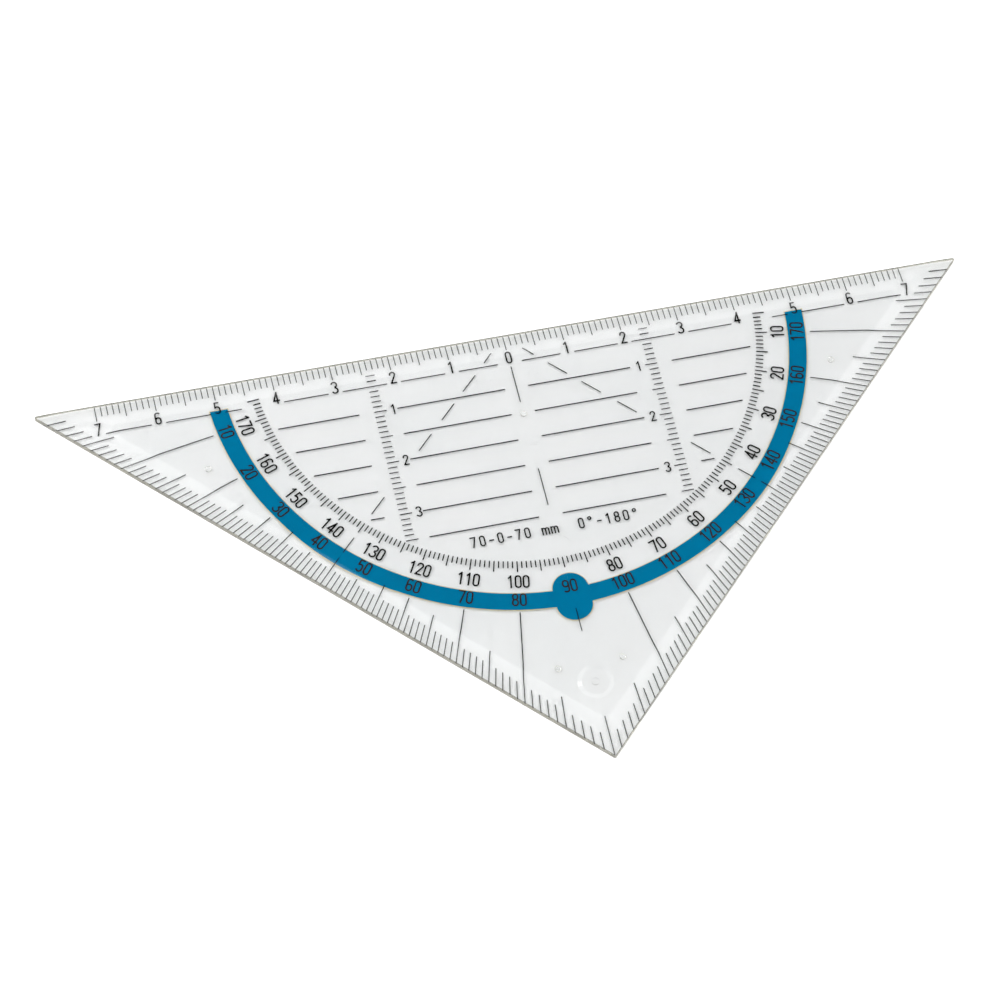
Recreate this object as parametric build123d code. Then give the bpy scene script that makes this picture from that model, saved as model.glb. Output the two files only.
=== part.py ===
"""Set-square protractor for the drawing board.

A clear moulded plate in the shape of a right-angled isosceles triangle, with every scale
printed on its underside, so that the plate protects the ink and a pencil line meets the
marks without parallax. The black ink lies against the plate, the blue band behind it, and a
cream backing layer, a little wider than the blue, behind both.

All shapes are drawn in the print frame: X runs along the ruling edge, Y towards it, and
zero is the centre of the protractor. write() moves them into the row frame, whose origin
is the middle of the triangle's box on the plane that the feet stand on.
"""

import os
from math import atan2, cos, degrees, radians, sin, sqrt

from build123d import *

ON_GROUND = (Align.CENTER, Align.CENTER, Align.MIN)

# --- plate, all sizes in mm ---------------------------------------------------------------
TIP = 80.0                  # protractor centre to each blunt tip
CORNER = 80.0               # protractor centre to the right-angled corner, before rounding
EDGE_MARGIN = 0.4           # ruling edge beyond the protractor's centre
THICKNESS = 2.0
EDGE_THICKNESS = 0.9        # what the bevels leave at the edges
RULING_BEVEL = 4.9          # plan width of the bevel along the ruling edge
LEG_BEVEL = 4.5             # plan width of the bevels along the legs
CREASE_RADIUS = 6.5         # soft turn from the flat top into a bevel
EDGE_ROUND = 0.08
CORNER_ROUND = 0.25         # upright edges at the tips and the corner

# --- moulding marks -----------------------------------------------------------------------
FOOT_HEIGHT = 0.3           # feet keep the ink off the paper
FOOT_RADIUS = 0.5
FEET = [(0, -15.2), (-53.6, -15.2), (53.6, -15.2), (-5.4, -62.8), (5.4, -62.8)]
GATE_CENTRE = (0, -66.3)    # where the plastic entered the mould
GATE_RECESS_RADIUS = 3.0
GATE_FLOOR_RADIUS = 2.3
GATE_RECESS_DEPTH = 0.15
GATE_PIP_RADIUS = 0.65
GATE_PIP_HEIGHT = 0.12
SINK_RADIUS = 2.6           # shallow dish on the top, over the gate
SINK_DEPTH = 0.08
EJECTOR_CENTRE = (0.2, -41.0)
EJECTOR_RADIUS = 1.9
EJECTOR_DEPTH = 0.03

# --- ink ----------------------------------------------------------------------------------
INK = 0.02                  # thickness of one printed layer
HAIR_GAP = 0.01             # keeps neighbouring layers from sharing a face
BLACK_TOP = FOOT_HEIGHT - HAIR_GAP
BLUE_TOP = BLACK_TOP - INK - HAIR_GAP
CREAM_TOP = BLUE_TOP - INK - HAIR_GAP
HAIRLINE = 0.15             # line weights
THIN_LINE = 0.17
BOLD_LINE = 0.20

# --- ruling scale along the edge ----------------------------------------------------------
RULER_REACH = 70            # millimetres each side of the zero mark
TICK_START = 0.3
SHORT_TICK_END = -1.75
LONG_TICK_END = -2.55
RULER_NUMBER_Y = -4.05
BASE_LINE_Y = -5.0
NUMBER_GAP = 1.2            # from a number's middle to the base line beside it
ZERO_GAP = 2.1              # the same beside the zero
BASE_LINE_RESUMES = 46.0    # outside the degree ring, which interrupts the base line

# --- protractor ---------------------------------------------------------------------------
RING_RADIUS = 43.0          # inner end of every ring tick
FINE_RING_TICK = 1.25
LONG_RING_TICK = 2.0
FIRST_RING_DEGREE = 5
INNER_NUMBER_RADIUS = 46.75
OUTER_NUMBER_RADIUS = 50.1
BAND_RADIUS = 50.0
BAND_WIDTH = 3.0
BAND_OFFSET_Y = -0.45       # the blue layer is printed a little low of the black
BAND_END_Y = -4.5
TAB_RADIUS = 3.0            # the rounded tab that holds the 90
TAB_LENGTH = 8.7
BACKING_RIM = 0.14          # cream that shows around the blue
TAB_NUMBER_RADIUS = 48.45
LEG_TICK_MARGIN = 0.4       # from the leg to the outer end of its ticks
LEG_TICK = 3.2
LEG_FIVE_TICK = 5.5
LEG_TEN_START = 52.4        # radius where the ten-degree lines begin

# --- parallel lines and height scales -----------------------------------------------------
PARALLEL_HEIGHTS = [10, 15, 20, 25, 30, 35]
PARALLEL_START = 2.0
LEFT_PARALLEL_END = 20.5
RIGHT_PARALLEL_END = 19.7
OUTER_PARALLEL_START = 27.0
OUTER_PARALLEL_ENDS = {10: 40.8, 15: 38.8, 20: 36.8, 25: 33.8, 30: 29.3}
HEIGHT_SCALE_FIRST = 3
HEIGHT_SCALE_LAST = 35
HEIGHT_SCALE_X = 24.45      # outer end of every height tick
HEIGHT_TICK = 1.55
HEIGHT_LONG_TICK = 2.1
HEIGHT_NUMBER_X = 21.2

# --- diagonals and centre line, as the distance of each dash's ends from the centre -------
DIAGONAL_DASHES = [(2.7, 4.3), (6.3, 9.0), (11.0, 13.7), (16.0, 18.7), (26.2, 28.9), (32.7, 35.0)]
CENTRE_DASHES = [(5.8, 12.9), (26.0, 33.0), (52.7, 56.9), (72.5, 79.4)]

# --- lettering, shares of the character's height ------------------------------------------
RULER_NUMBER_SIZE = 2.2
DEGREE_NUMBER_SIZE = 2.35
HEIGHT_NUMBER_SIZE = 1.95
RANGE_SIZE = 2.0
RANGE_Y = -37.5
RANGE_TEXT = "70-0-70 mm  0°-180°"
STROKE = 0.115
HALF_WIDTH = 0.185          # to the middle of the stroke
NUMBER_ADVANCE = 0.555
RANGE_ADVANCE = 0.76


def polar(radius, angle):
    """Point below the ruling edge; angle counts degrees clockwise from the right-hand tip."""
    return (radius * cos(radians(angle)), -radius * sin(radians(angle)))


def leg_radius(angle):
    """Distance from the protractor's centre to a leg in this direction."""
    return CORNER / (abs(cos(radians(angle))) + sin(radians(angle)))


# --- plate --------------------------------------------------------------------------------
def triangle(ruling_inset, leg_inset):
    """The triangle's outline with sharp corners, drawn in by these distances."""
    top = EDGE_MARGIN - ruling_inset
    reach = CORNER - leg_inset * sqrt(2)
    return Polygon((reach + top, top), (-reach - top, top), (0, -reach), align=None)


def bevelled_blank():
    """The plate with its three bevels and sharp corners, standing on z = 0."""
    lower = Pos(0, 0, EDGE_THICKNESS) * triangle(0, 0)
    upper = Pos(0, 0, THICKNESS) * triangle(RULING_BEVEL, LEG_BEVEL)
    blank = extrude(triangle(0, 0), EDGE_THICKNESS) + loft([lower, upper], ruled=True)
    above_rim = (EDGE_THICKNESS + THICKNESS) / 2
    creases = [edge for edge in blank.edges() if edge.center().Z > above_rim - EDGE_ROUND]
    return fillet(creases, CREASE_RADIUS)


def plan_outline():
    """The triangle seen from above, with blunt tips and rounded corners."""
    outline = triangle(0, 0) & Rectangle(2 * TIP, 4 * CORNER)
    return fillet(outline.vertices(), CORNER_ROUND)


def foot():
    """A small pad that reaches from the ground into the plate."""
    pad = Cylinder(FOOT_RADIUS, 2 * FOOT_HEIGHT, align=ON_GROUND)
    return fillet(pad.edges().group_by(Axis.Z)[0], FOOT_RADIUS / 3)


def clear_plate():
    plate = bevelled_blank() & extrude(plan_outline(), THICKNESS)
    plate = fillet(plate.edges().group_by(Axis.Z)[0], EDGE_ROUND)
    recess = Cone(GATE_RECESS_RADIUS, GATE_FLOOR_RADIUS, GATE_RECESS_DEPTH, align=ON_GROUND)
    plate -= Pos(*GATE_CENTRE) * recess
    pip_low = GATE_RECESS_DEPTH - GATE_PIP_HEIGHT
    plate += Pos(*GATE_CENTRE, pip_low) * Cylinder(GATE_PIP_RADIUS, GATE_PIP_HEIGHT, align=ON_GROUND)
    plate -= Pos(*EJECTOR_CENTRE) * Cylinder(EJECTOR_RADIUS, EJECTOR_DEPTH, align=ON_GROUND)
    sink_sphere = (SINK_RADIUS**2 + SINK_DEPTH**2) / (2 * SINK_DEPTH)
    plate -= Pos(*GATE_CENTRE, THICKNESS - SINK_DEPTH + sink_sphere) * Sphere(sink_sphere)
    return Pos(0, 0, FOOT_HEIGHT) * plate + [Pos(*place) * foot() for place in FEET]


# --- lettering ----------------------------------------------------------------------------
def pen(*lines):
    """One stroke that follows these joined lines."""
    return trace(Curve() + list(lines), STROKE)


def loop(height, half_width=HALF_WIDTH):
    """Closed upright loop with round ends, standing on y = 0."""
    width = 2 * half_width + STROKE
    outer = SlotOverall(height, width, rotation=90)
    inner = SlotOverall(height - 2 * STROKE, width - 2 * STROKE, rotation=90)
    return Pos(0, height / 2) * (outer - inner)


def draw_characters():
    """Every character used, one unit tall, on y = 0 with its middle at x = 0."""
    half = HALF_WIDTH
    side = half + STROKE / 2
    low = STROKE / 2
    top = 1 - low
    shoulder = top - half
    six_hook = CenterArc((0, shoulder), half, 180, -150)
    six = loop(0.6) + pen(Line((-half, 0.3), (-half, shoulder)), six_hook)
    two_bow = CenterArc((0, shoulder), half, 200, -230)
    five_top = CenterArc((0, 0.41), half, 145, -145)
    five_bottom = CenterArc((0, 0.25), half, 0, -160)
    arch = CenterArc((0.135, 0.5), 0.135, 180, -180)
    m_arch = pen(Line((0, 0), (0, 0.5)), arch, Line((0.27, 0.5), (0.27, 0)))
    faces = {
        "0": loop(1),
        "1": pen(Line((0.05, 0), (0.05, 1))) + pen(Line((0.05, 0.93), (-0.14, 0.75))),
        "2": pen(two_bow, Line(two_bow @ 1, (-half, low))) + pen(Line((-side, low), (side, low))),
        "3": pen(CenterArc((0, top - 0.2), 0.2, 165, -255))
        + pen(CenterArc((0, low + 0.215), 0.215, 90, -255)),
        "4": pen(Line((0.08, 0), (0.08, 1)))
        + pen(Polyline((0.08, 0.92), (-0.2, 0.27), (0.25, 0.27))),
        "5": pen(Polyline((0.18, top), (-0.13, top), (-0.16, 0.5)))
        + pen(five_top, Line((half, 0.41), (half, 0.25)), five_bottom),
        "6": six,
        "7": pen(Polyline((-side, top), (half, top), (-0.07, 0))),
        "8": loop(0.575) + Pos(0, 0.46) * loop(0.54, 0.165),
        "9": Pos(0, 1) * (Rot(0, 0, 180) * six),
        "°": Pos(0, 0.64) * loop(0.36, 0.1225),
        "-": pen(Line((-0.2, 0.42), (0.2, 0.42))),
        "m": pen(Line((-0.27, 0), (-0.27, 0.7))) + Pos(-0.27, 0) * m_arch + m_arch,
    }
    # Adding to an empty sketch puts every face's own origin at zero, the point it scales from.
    return {character: Sketch() + face for character, face in faces.items()}


CHARACTERS = draw_characters()


def lettering(text, size, advance, location):
    """A row of characters in the black layer, centred on this location."""
    letters = []
    for index, character in enumerate(text):
        if character != " ":
            across = (index - (len(text) - 1) / 2) * advance * size
            letter = extrude(scale(CHARACTERS[character], size), INK)
            letters.append(location * Pos(across, -size / 2, BLACK_TOP - INK) * letter)
    return letters


def number(value, size, location):
    return lettering(str(value), size, NUMBER_ADVANCE, location)


def ring_number(value, radius, angle):
    """A number that stands on its circle with its top towards the centre."""
    place = Pos(*polar(radius, angle)) * Rot(0, 0, 90 - angle)
    return number(value, DEGREE_NUMBER_SIZE, place)


# --- printed lines ------------------------------------------------------------------------
def line(start, end, weight):
    """One straight line in the black layer."""
    run = Vector(*end) - Vector(*start)
    turn = degrees(atan2(run.Y, run.X))
    bar = Box(run.length, weight, INK, align=(Align.MIN, Align.CENTER, Align.MIN))
    return Pos(*start, BLACK_TOP - INK) * Rot(0, 0, turn) * bar


def ruler_ticks(is_wanted, tick_end):
    """Ticks of the ruling scale at the millimetres that is_wanted picks."""
    millimetres = filter(is_wanted, range(-RULER_REACH, RULER_REACH + 1))
    return [line((x, TICK_START), (x, tick_end), HAIRLINE) for x in millimetres]


def ruler_numbers():
    numbers = []
    for x in range(-RULER_REACH, RULER_REACH + 1, 10):
        numbers += number(abs(x) // 10, RULER_NUMBER_SIZE, Pos(x, RULER_NUMBER_Y))
    return numbers


def base_line():
    """The line under the ruler numbers, broken at each number and at the degree ring."""
    pieces = []
    for start in range(0, RULER_REACH, 10):
        left = start + (NUMBER_GAP if start else ZERO_GAP)
        if left < BASE_LINE_RESUMES < start + 10:
            left = BASE_LINE_RESUMES
        right = start + 10 - NUMBER_GAP
        for side in (-1, 1):
            pieces.append(line((side * left, BASE_LINE_Y), (side * right, BASE_LINE_Y), THIN_LINE))
    return pieces


def ring_ticks(is_wanted, length):
    """Ticks of the degree ring at the angles that is_wanted picks."""
    ticks = []
    for angle in filter(is_wanted, range(FIRST_RING_DEGREE, 181 - FIRST_RING_DEGREE)):
        start = polar(RING_RADIUS, angle)
        ticks.append(line(start, polar(RING_RADIUS + length, angle), BOLD_LINE))
    return ticks


def inner_degree_numbers():
    numbers = []
    for angle in range(10, 180, 10):
        if angle != 90:
            numbers += ring_number(angle, INNER_NUMBER_RADIUS, angle)
    return numbers


def outer_degree_numbers():
    numbers = []
    for angle in range(10, 180, 10):
        radius = TAB_NUMBER_RADIUS if angle == 90 else OUTER_NUMBER_RADIUS
        numbers += ring_number(180 - angle, radius, angle)
    return numbers


def leg_ticks(angles, length):
    """Radial ticks along a leg, all of one length."""
    ticks = []
    for angle in angles:
        outer = leg_radius(angle) - LEG_TICK_MARGIN
        ticks.append(line(polar(outer, angle), polar(outer - length, angle), THIN_LINE))
    return ticks


def leg_ten_lines(angles):
    """The long radial lines from the blue band out to a leg."""
    lines = []
    for angle in angles:
        outer = leg_radius(angle) - LEG_TICK_MARGIN
        lines.append(line(polar(LEG_TEN_START, angle), polar(outer, angle), THIN_LINE))
    return lines


def parallel_lines(side, inner_end):
    """The lines parallel to the ruling edge on one side of the centre."""
    spans = [(height, PARALLEL_START, inner_end) for height in PARALLEL_HEIGHTS]
    spans += [(height, OUTER_PARALLEL_START, end) for height, end in OUTER_PARALLEL_ENDS.items()]
    return [line((side * near, -y), (side * far, -y), BOLD_LINE) for y, near, far in spans]


def height_scale(side):
    """Upright millimetre scale beside the parallel lines."""
    ticks = []
    for height in range(HEIGHT_SCALE_FIRST, HEIGHT_SCALE_LAST + 1):
        length = HEIGHT_LONG_TICK if height % 5 == 0 else HEIGHT_TICK
        outer = side * HEIGHT_SCALE_X
        inner = side * (HEIGHT_SCALE_X - length)
        if height != -BASE_LINE_Y:
            ticks.append(line((outer, -height), (inner, -height), THIN_LINE))
    return ticks


def height_numbers(side):
    numbers = []
    for centimetres in (1, 2, 3):
        place = Pos(side * HEIGHT_NUMBER_X, -10 * centimetres)
        numbers += number(centimetres, HEIGHT_NUMBER_SIZE, place)
    return numbers


def diagonal_dashes(side):
    return [line((side * a, -a), (side * b, -b), THIN_LINE) for a, b in DIAGONAL_DASHES]


def centre_dashes():
    return [line((0, -a), (0, -b), HAIRLINE) for a, b in CENTRE_DASHES]


def degree_band(rim, top):
    """One colour of the half ring with its rounded tab; rim widens the shape all round."""
    reach = BAND_RADIUS + BAND_WIDTH / 2 + rim
    ring = Circle(reach) - Circle(BAND_RADIUS - BAND_WIDTH / 2 - rim)
    lower_half = Rectangle(2 * reach, reach, align=(Align.CENTER, Align.MAX))
    band = ring & Pos(0, BAND_END_Y - BAND_OFFSET_Y + rim) * lower_half
    tab = Pos(0, -BAND_RADIUS) * SlotOverall(TAB_LENGTH + 2 * rim, 2 * (TAB_RADIUS + rim), rotation=90)
    return Pos(0, BAND_OFFSET_Y, top - INK) * extrude(band + tab, INK)


# --- files --------------------------------------------------------------------------------
CORNER_CUT = CORNER_ROUND * (sqrt(2) - 1)
TO_ROW_FRAME = Pos(0, (CORNER - CORNER_CUT - EDGE_MARGIN) / 2, 0)


def write(node, solids):
    """Move a node's solids into the row frame and store them."""
    export_step(TO_ROW_FRAME * Compound(solids), f"parts/{node}.step")


def is_fine(value):
    return value % 5 != 0


def is_five(value):
    return value % 10 == 5


def is_ten(value):
    return value % 10 == 0


os.makedirs("parts", exist_ok=True)

write("clear_plate", clear_plate().solids())
write("blue_degree_band", degree_band(0, BLUE_TOP).solids())
write("cream_band_backing", degree_band(BACKING_RIM, CREAM_TOP).solids())
write("ruler_millimetre_ticks", ruler_ticks(is_fine, SHORT_TICK_END))
write("ruler_half_centimetre_ticks", ruler_ticks(is_five, LONG_TICK_END))
write("ruler_centimetre_ticks", ruler_ticks(is_ten, LONG_TICK_END))
write("ruler_numbers", ruler_numbers())
write("ruler_base_line", base_line())
write("ring_degree_ticks", ring_ticks(is_fine, FINE_RING_TICK))
write("ring_five_degree_ticks", ring_ticks(is_five, LONG_RING_TICK))
write("ring_ten_degree_ticks", ring_ticks(is_ten, LONG_RING_TICK))
write("inner_degree_numbers", inner_degree_numbers())
write("outer_degree_numbers", outer_degree_numbers())
write("centre_line", centre_dashes())
write("range_marking", lettering(RANGE_TEXT, RANGE_SIZE, RANGE_ADVANCE, Pos(0, RANGE_Y)))

for name, side, first_degree, parallel_end in (
    ("left", -1, 90, LEFT_PARALLEL_END),
    ("right", 1, 0, RIGHT_PARALLEL_END),
):
    leg = range(first_degree + 1, first_degree + 90)
    write(f"{name}_leg_degree_ticks", leg_ticks(filter(is_fine, leg), LEG_TICK))
    write(f"{name}_leg_five_degree_ticks", leg_ticks(filter(is_five, leg), LEG_FIVE_TICK))
    write(f"{name}_leg_ten_degree_lines", leg_ten_lines(filter(is_ten, leg)))
    write(f"{name}_parallel_lines", parallel_lines(side, parallel_end))
    write(f"{name}_height_scale", height_scale(side))
    write(f"{name}_height_numbers", height_numbers(side))
    write(f"{name}_diagonal", diagonal_dashes(side))
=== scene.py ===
"""Looks of the set-square protractor: clear moulded plastic, printed inks, studio and camera.

Every length is in metres and every named angle in degrees. The CAD nodes keep their shapes; this
script gives each of them its material and adds the floor, the light and the camera. Places come
from the frame's own boxes.
"""

from math import cos, radians, sqrt

import bpy
from mathutils import Matrix, Vector


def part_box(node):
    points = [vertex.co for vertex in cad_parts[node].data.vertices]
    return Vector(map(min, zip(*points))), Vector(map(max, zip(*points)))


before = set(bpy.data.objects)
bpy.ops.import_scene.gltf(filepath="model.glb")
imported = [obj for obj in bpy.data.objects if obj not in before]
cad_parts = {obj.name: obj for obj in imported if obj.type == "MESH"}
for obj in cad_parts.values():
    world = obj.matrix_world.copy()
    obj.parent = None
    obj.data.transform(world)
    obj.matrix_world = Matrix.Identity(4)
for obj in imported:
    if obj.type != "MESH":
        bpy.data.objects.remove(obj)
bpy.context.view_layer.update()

MM = 0.001

# --- where things are ---------------------------------------------------------------------
LOW, HIGH = (Vector(corner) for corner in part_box("clear_plate"))
# The protractor's centre lies this far in from the ruling edge.
EDGE_MARGIN = 0.4 * MM
ZERO_MARK = Vector(((LOW.x + HIGH.x) / 2, HIGH.y - EDGE_MARGIN, LOW.z))
# |x| - y is this on both legs.
LEG_REACH = HIGH.x - HIGH.y + EDGE_MARGIN

# --- camera -------------------------------------------------------------------------------
LENS = 133.4
SENSOR = 36.0
CLIP_START = 10 * MM
VIEW_AZIMUTH = -17.53
VIEW_ELEVATION = 60.68
VIEW_ROLL = 5.21
VIEW_DISTANCE = 612.5 * MM
# Seen through the plate, the print seems to lie this much above where it is.
APPARENT_PRINT_HEIGHT = 1.1 * MM
AIM = ZERO_MARK + Vector((-7.61 * MM, -30.6 * MM, APPARENT_PRINT_HEIGHT))

# --- studio -------------------------------------------------------------------------------
FLOOR_SIZE = 3.0
FLOOR_COLOUR = (0.92, 0.92, 0.92, 1)
FLOOR_ROUGHNESS = 0.9
# A hair of air under the feet, so that they and the floor don't share a plane.
FLOOR_GAP = 0.02 * MM
# The room is white, but for a black card overhead that the flat top mirrors.
ROOM_STRENGTH = 1.65
CARD_DIRECTION = (0.1475, 0.467, 0.872)
CARD_COLOUR = (0.005, 0.005, 0.005, 1)
# The card is darkest this near its middle, and has faded into the wall this far from it.
CARD_DARK_WITHIN = 13
CARD_ENDS_AT = 20
KEY_DIRECTION = (-0.75, 0.35, 0.75)
KEY_DISTANCE = 0.9
KEY_SIZE = 0.5
KEY_WATTS = 4
# Light is trapped for long in a bevelled plate before it finds a way out.
BOUNCES = 32

# --- plastic ------------------------------------------------------------------------------
ACRYLIC_IOR = 1.49
FACE_TINT = (0.955, 0.965, 0.965, 1)
FACE_TINT_LIGHT = (0.97, 0.975, 0.975, 1)
TINT_SCALE = 60
TINT_BELOW = 0.3
TINT_LIGHT_ABOVE = 0.7
# Light that leaves by an edge has crossed much more plastic. The dark tint on the upright faces
# is partly that colour and partly painted shade for the dark lines along the edges.
EDGE_TINT_AND_SHADE = (0.28, 0.26, 0.18, 1)
# A face's upright share is one below the first |normal z| and zero above the second.
UPRIGHT_BELOW = 0.3
FLAT_ABOVE = 0.8
# Painted shade: a dark line along the outline; its inner part, from the given share of its width,
# fades out.
RIM_SHADE_COLOUR = (0.17, 0.165, 0.125, 1)
RIM_SHADE_WIDTH = 0.22 * MM
RIM_SHADE_FADES_FROM = 0.6
# Flow waves from the moulding, too low to model.
WAVE_SCALE = 45
WAVE_STRENGTH = 0.06
WAVE_HEIGHT = 0.2 * MM
# Handling marks: patches of slight roughness where the noise is high.
HAZE_SCALE = 900
HAZE_STARTS = 0.55
HAZE_FULL = 0.8
HAZE_ROUGHNESS = 0.035

# --- ink ----------------------------------------------------------------------------------
DENSITY_SCALE = 5000
# The noise turns from the dark colour to the light one between these values.
DARK_BELOW = 0.35
LIGHT_ABOVE = 0.7
GRAIN_SCALE = 12000
GRAIN_DEPTH = 0.25

# --- masks --------------------------------------------------------------------------------
ONE = (1, 1, 1, 1)
ZERO = (0, 0, 0, 1)


# --- node helpers: the owner is the material or the world that holds the nodes -------------
def new_material(name):
    """An empty node material and its Principled shader."""
    material = bpy.data.materials.new(name)
    material.use_nodes = True
    return material, material.node_tree.nodes["Principled BSDF"]


def add_node(owner, kind, **settings):
    """A new node; settings are its properties, or its inputs where the name is an input's."""
    node = owner.node_tree.nodes.new(kind)
    for key, value in settings.items():
        if key in node.inputs:
            node.inputs[key].default_value = value
        else:
            setattr(node, key, value)
    return node


def join(owner, output, target):
    owner.node_tree.links.new(output, target)


def noise(owner, scale, detail=2.0):
    """Noise in the part's own coordinates; scale counts its features per metre."""
    place = add_node(owner, "ShaderNodeTexCoord")
    texture = add_node(owner, "ShaderNodeTexNoise", Scale=scale, Detail=detail)
    join(owner, place.outputs["Object"], texture.inputs["Vector"])
    return texture.outputs["Fac"]


def ramp(owner, factor, low, high, start=0.0, end=1.0):
    """The low colour up to start and the high one from end on, with a blend between."""
    blend = add_node(owner, "ShaderNodeValToRGB")
    stops = blend.color_ramp.elements
    stops[0].position, stops[0].color = start, low
    stops[1].position, stops[1].color = end, high
    join(owner, factor, blend.inputs["Fac"])
    return blend.outputs["Color"]


def spread(owner, value, low, high, start=0.0, end=1.0):
    """A number that goes from low to high as the value goes from start to end."""
    node = add_node(owner, "ShaderNodeMapRange")
    node.inputs["From Min"].default_value = start
    node.inputs["From Max"].default_value = end
    node.inputs["To Min"].default_value = low
    node.inputs["To Max"].default_value = high
    join(owner, value, node.inputs["Value"])
    return node.outputs["Result"]


def tinted(owner, colour, mask, tint):
    """The colour, replaced with a fixed tint where the mask is one."""
    node = add_node(owner, "ShaderNodeMix", data_type="RGBA")
    join(owner, mask, node.inputs["Factor"])
    join(owner, colour, node.inputs["A"])
    node.inputs["B"].default_value = tint
    return node.outputs["Result"]


def calculate(owner, operation, first, second=0):
    """One Math node; each operand is a number or another node's output."""
    node = add_node(owner, "ShaderNodeMath", operation=operation)
    for socket, operand in zip(node.inputs, (first, second)):
        if isinstance(operand, (int, float)):
            socket.default_value = operand
        else:
            join(owner, operand, socket)
    return node.outputs["Value"]


def split(owner, vector):
    """The X, Y and Z parts of a vector output, as outputs with those names."""
    parts = add_node(owner, "ShaderNodeSeparateXYZ")
    join(owner, vector, parts.inputs["Vector"])
    return parts.outputs


# --- materials ----------------------------------------------------------------------------
def steepness(material):
    """One on upright faces, such as the plate's edges, and zero on the flat ones."""
    geometry = add_node(material, "ShaderNodeNewGeometry")
    normal = split(material, geometry.outputs["True Normal"])
    flatness = calculate(material, "ABSOLUTE", normal["Z"])
    return ramp(material, flatness, ONE, ZERO, UPRIGHT_BELOW, FLAT_ABOVE)


def painted_rim_shade(material):
    """One on the dark line of painted shade along the plate's outline, fading to zero inside it.
    """
    coordinates = add_node(material, "ShaderNodeTexCoord")
    place = split(material, coordinates.outputs["Object"])
    from_ruling_edge = calculate(material, "SUBTRACT", HIGH.y, place["Y"])
    x_size = calculate(material, "ABSOLUTE", place["X"])
    reach = calculate(material, "SUBTRACT", x_size, place["Y"])
    short_of_leg = calculate(material, "SUBTRACT", LEG_REACH, reach)
    # The legs lie at 45 degrees, so the distance to them is this share of the reach that is left.
    from_leg = calculate(material, "MULTIPLY", short_of_leg, sqrt(0.5))
    from_outline = calculate(material, "MINIMUM", from_ruling_edge, from_leg)
    depth = calculate(material, "DIVIDE", from_outline, RIM_SHADE_WIDTH)
    return ramp(material, depth, ONE, ZERO, RIM_SHADE_FADES_FROM, 1.0)


def clear_plastic():
    """Polished clear acrylic with faint flow waves and a light haze of handling marks."""
    material, shader = new_material("clear_plastic")
    shader.inputs["Transmission Weight"].default_value = 1.0
    shader.inputs["IOR"].default_value = ACRYLIC_IOR
    cloud = noise(material, TINT_SCALE)
    face = ramp(material, cloud, FACE_TINT, FACE_TINT_LIGHT, TINT_BELOW, TINT_LIGHT_ABOVE)
    # The upright faces take the edge tint: partly the colour of the long path through the
    # plastic, partly painted shade.
    body = tinted(material, face, steepness(material), EDGE_TINT_AND_SHADE)
    # Painted shade: a dark line along the plate's outline.
    rim_shaded = tinted(material, body, painted_rim_shade(material), RIM_SHADE_COLOUR)
    join(material, rim_shaded, shader.inputs["Base Color"])
    marks = noise(material, HAZE_SCALE, detail=6.0)
    haze = spread(material, marks, 0.0, HAZE_ROUGHNESS, HAZE_STARTS, HAZE_FULL)
    join(material, haze, shader.inputs["Roughness"])
    bump = add_node(material, "ShaderNodeBump", Strength=WAVE_STRENGTH, Distance=WAVE_HEIGHT)
    join(material, noise(material, WAVE_SCALE, detail=1.0), bump.inputs["Height"])
    join(material, bump.outputs["Normal"], shader.inputs["Normal"])
    return material


def ink(name, dark, light, roughness):
    """Screen-printed ink: slightly uneven in density, with a fine matt grain."""
    material, shader = new_material(name)
    unevenness = noise(material, DENSITY_SCALE, detail=4.0)
    density = ramp(material, unevenness, dark, light, DARK_BELOW, LIGHT_ABOVE)
    join(material, density, shader.inputs["Base Color"])
    shader.inputs["Specular IOR Level"].default_value = 0.0
    grain = spread(material, noise(material, GRAIN_SCALE), roughness, roughness + GRAIN_DEPTH)
    join(material, grain, shader.inputs["Roughness"])
    return material


PLASTIC = clear_plastic()
BLACK = ink("black_ink", (0.006, 0.006, 0.005, 1), (0.02, 0.02, 0.018, 1), 0.5)
BLUE = ink("blue_ink", (0.0, 0.19, 0.375, 1), (0.0, 0.2, 0.39, 1), 0.45)
CREAM = ink("cream_ink", (0.75, 0.66, 0.4, 1), (0.82, 0.73, 0.48, 1), 0.5)
OVERPRINT = ink("black_over_blue_ink", (0.03, 0.02, 0.015, 1), (0.05, 0.035, 0.03, 1), 0.5)
# Every other node is printed in black.
SPECIAL = {
    "clear_plate": PLASTIC,
    "blue_degree_band": BLUE,
    "cream_band_backing": CREAM,
    "outer_degree_numbers": OVERPRINT,
}

for name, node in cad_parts.items():
    node.data.materials.clear()
    node.data.materials.append(SPECIAL.get(name, BLACK))


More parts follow.
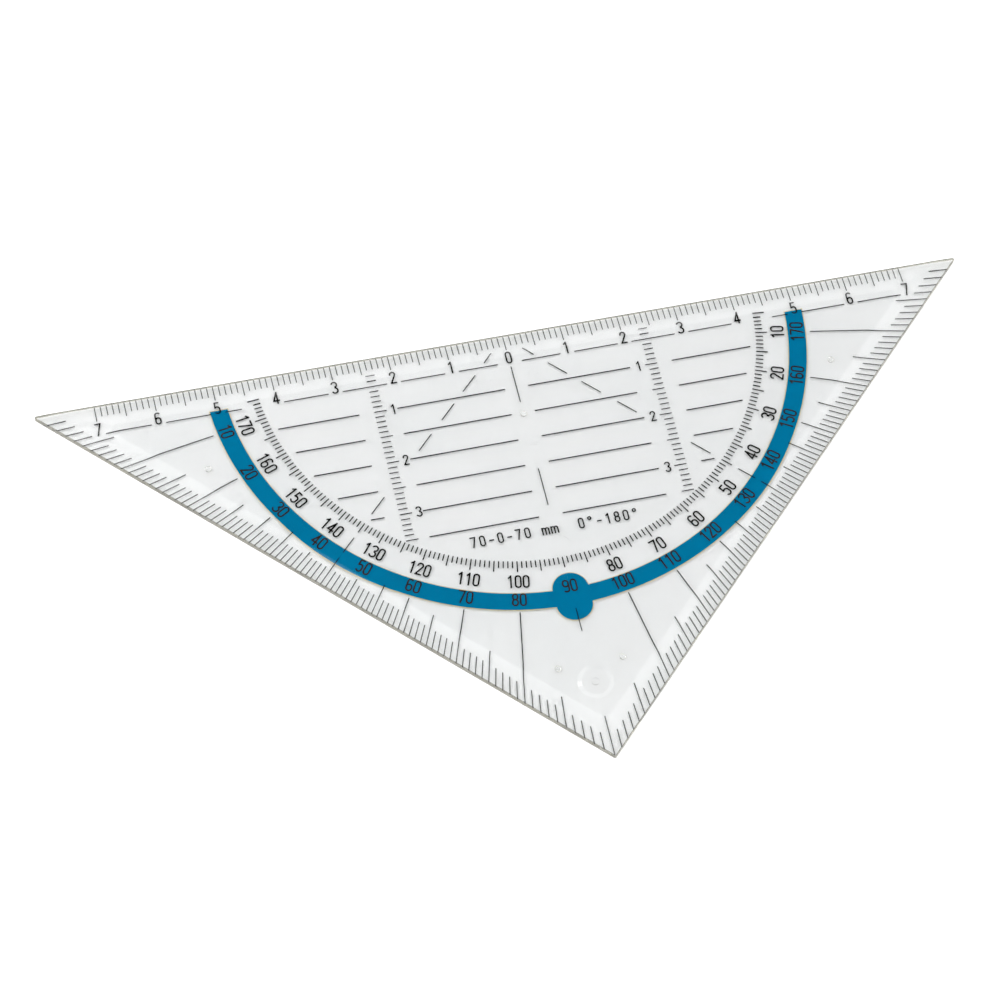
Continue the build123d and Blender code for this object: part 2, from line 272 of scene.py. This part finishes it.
# --- floor, light and camera --------------------------------------------------------------
def floor():
    """A plain matt floor just under the feet."""
    bpy.ops.mesh.primitive_plane_add(size=FLOOR_SIZE, location=(0, 0, LOW.z - FLOOR_GAP))
    plane = bpy.context.object
    plane.name = "floor"
    material, shader = new_material("floor")
    shader.inputs["Base Color"].default_value = FLOOR_COLOUR
    shader.inputs["Roughness"].default_value = FLOOR_ROUGHNESS
    plane.data.materials.append(material)


def key_light():
    """A square area light that faces the object."""
    light = bpy.data.lights.new("key", "AREA")
    light.size = KEY_SIZE
    light.energy = KEY_WATTS
    lamp = bpy.data.objects.new("key", light)
    bpy.context.collection.objects.link(lamp)
    away = Vector(KEY_DIRECTION).normalized()
    lamp.location = away * KEY_DISTANCE
    lamp.rotation_euler = away.to_track_quat("Z", "Y").to_euler()


def white_room():
    """World light, even all round but for the soft-edged black card."""
    world = bpy.data.worlds.new("white_room")
    world.use_nodes = True
    background = world.node_tree.nodes["Background"]
    direction = add_node(world, "ShaderNodeTexCoord")
    nearness = add_node(world, "ShaderNodeVectorMath", operation="DOT_PRODUCT")
    join(world, direction.outputs["Generated"], nearness.inputs[0])
    nearness.inputs[1].default_value = Vector(CARD_DIRECTION).normalized()
    edge = cos(radians(CARD_ENDS_AT))
    dark = cos(radians(CARD_DARK_WITHIN))
    wall = ramp(world, nearness.outputs["Value"], ONE, CARD_COLOUR, edge, dark)
    join(world, wall, background.inputs["Color"])
    background.inputs["Strength"].default_value = ROOM_STRENGTH
    bpy.context.scene.world = world


def camera():
    """A long lens that looks at AIM from the given azimuth, elevation and roll."""
    data = bpy.data.cameras.new("camera")
    data.lens = LENS
    data.sensor_width = SENSOR
    data.clip_start = CLIP_START
    eye = bpy.data.objects.new("camera", data)
    bpy.context.collection.objects.link(eye)
    turn = Matrix.Rotation(radians(VIEW_AZIMUTH), 4, "Z")
    tilt = Matrix.Rotation(radians(90 - VIEW_ELEVATION), 4, "X")
    roll = Matrix.Rotation(radians(VIEW_ROLL), 4, "Z")
    back = Matrix.Translation((0, 0, VIEW_DISTANCE))
    eye.matrix_world = Matrix.Translation(AIM) @ turn @ tilt @ roll @ back
    bpy.context.scene.camera = eye


floor()
white_room()
key_light()
camera()
bpy.context.scene.view_settings.view_transform = "Standard"
for kind in ("max_bounces", "glossy_bounces", "transmission_bounces"):
    setattr(bpy.context.scene.cycles, kind, BOUNCES)
